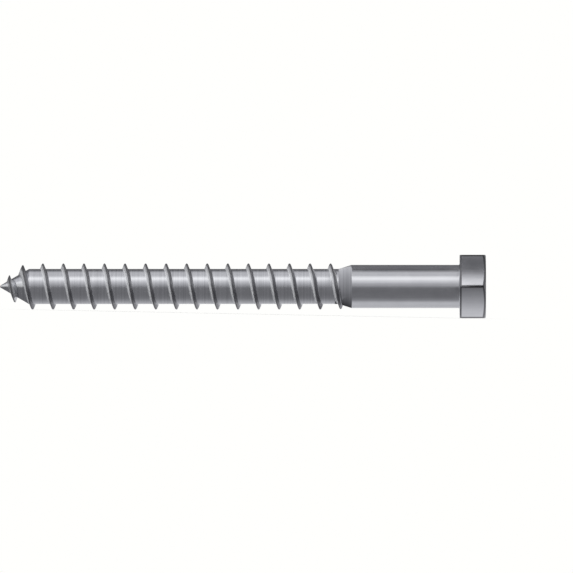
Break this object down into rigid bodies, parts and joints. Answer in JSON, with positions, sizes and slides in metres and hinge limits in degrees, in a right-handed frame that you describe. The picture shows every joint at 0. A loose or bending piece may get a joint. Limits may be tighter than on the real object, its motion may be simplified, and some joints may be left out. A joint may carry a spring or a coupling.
{
  "type": "lag screw",
  "caption": "Hex-head lag screw with a plain shank, a coarse right-hand wood thread and a gimlet point, for fastening brackets and timber.",
  "frame": {"origin": "centre of the head's bearing face, on the screw's axis", "axes": "+X along the screw's axis towards the head, so the point is at -X; +Z square to two of the head's flats"},
  "size_m": [0.0845, 0.0126, 0.011],
  "materials": {
    "bright_steel": "bright zinc-plated steel with fine drawing lines along the shank"
  },
  "bodies": {
    "root": {"lag_screw": "bright_steel"}
  },
  "joints": []
}
